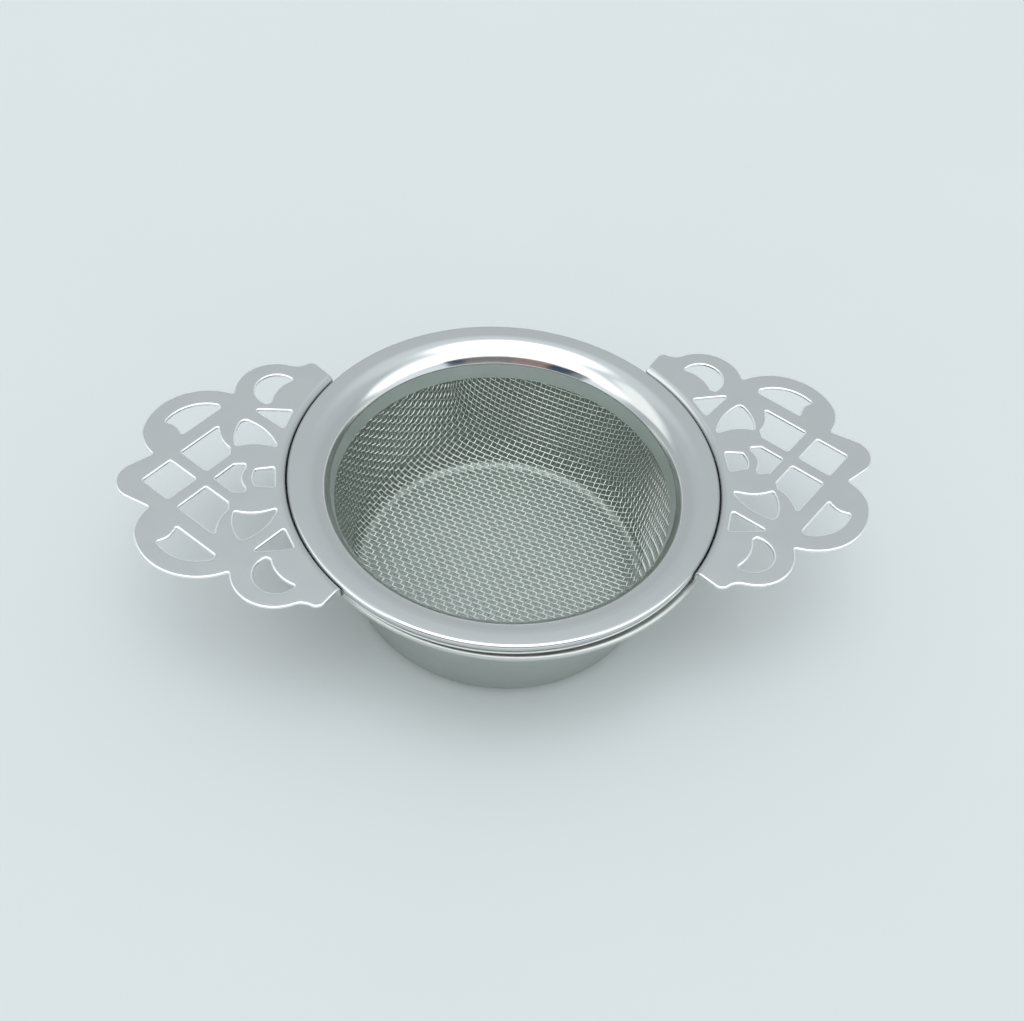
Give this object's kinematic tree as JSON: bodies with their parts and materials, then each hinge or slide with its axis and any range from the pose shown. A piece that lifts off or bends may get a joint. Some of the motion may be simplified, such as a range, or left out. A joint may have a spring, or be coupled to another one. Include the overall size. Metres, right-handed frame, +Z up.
{
  "type": "tea strainer",
  "caption": "Round woven-mesh tea strainer with two pierced wing handles that rest on a cup, lifting out of its own drip bowl.",
  "frame": {"origin": "on the standing surface, under the centre of the strainer's rim", "axes": "+X along the wings towards the right handle, +Y to the back, +Z up out of the drip bowl"},
  "size_m": [0.1332, 0.076, 0.0291],
  "materials": {
    "polished_rim": "polished",
    "clamp_steel": "polished",
    "woven_mesh": "drawn wire, satin",
    "wing_steel": "satin",
    "bowl_steel": "satin outside, polished flange"
  },
  "bodies": {
    "drip_bowl": {"drip_bowl": "bowl_steel"},
    "strainer": {"rim_ring": "polished_rim", "clamp_ring": "clamp_steel", "mesh_basket": "woven_mesh", "left_handle": "wing_steel", "right_handle": "wing_steel"}
  },
  "joints": [
    {"name": "strainer_lift", "type": "slide", "parent": "drip_bowl", "child": "strainer", "axis": [0, 0, 1], "range_m": [0, 0.06]}
  ]
}
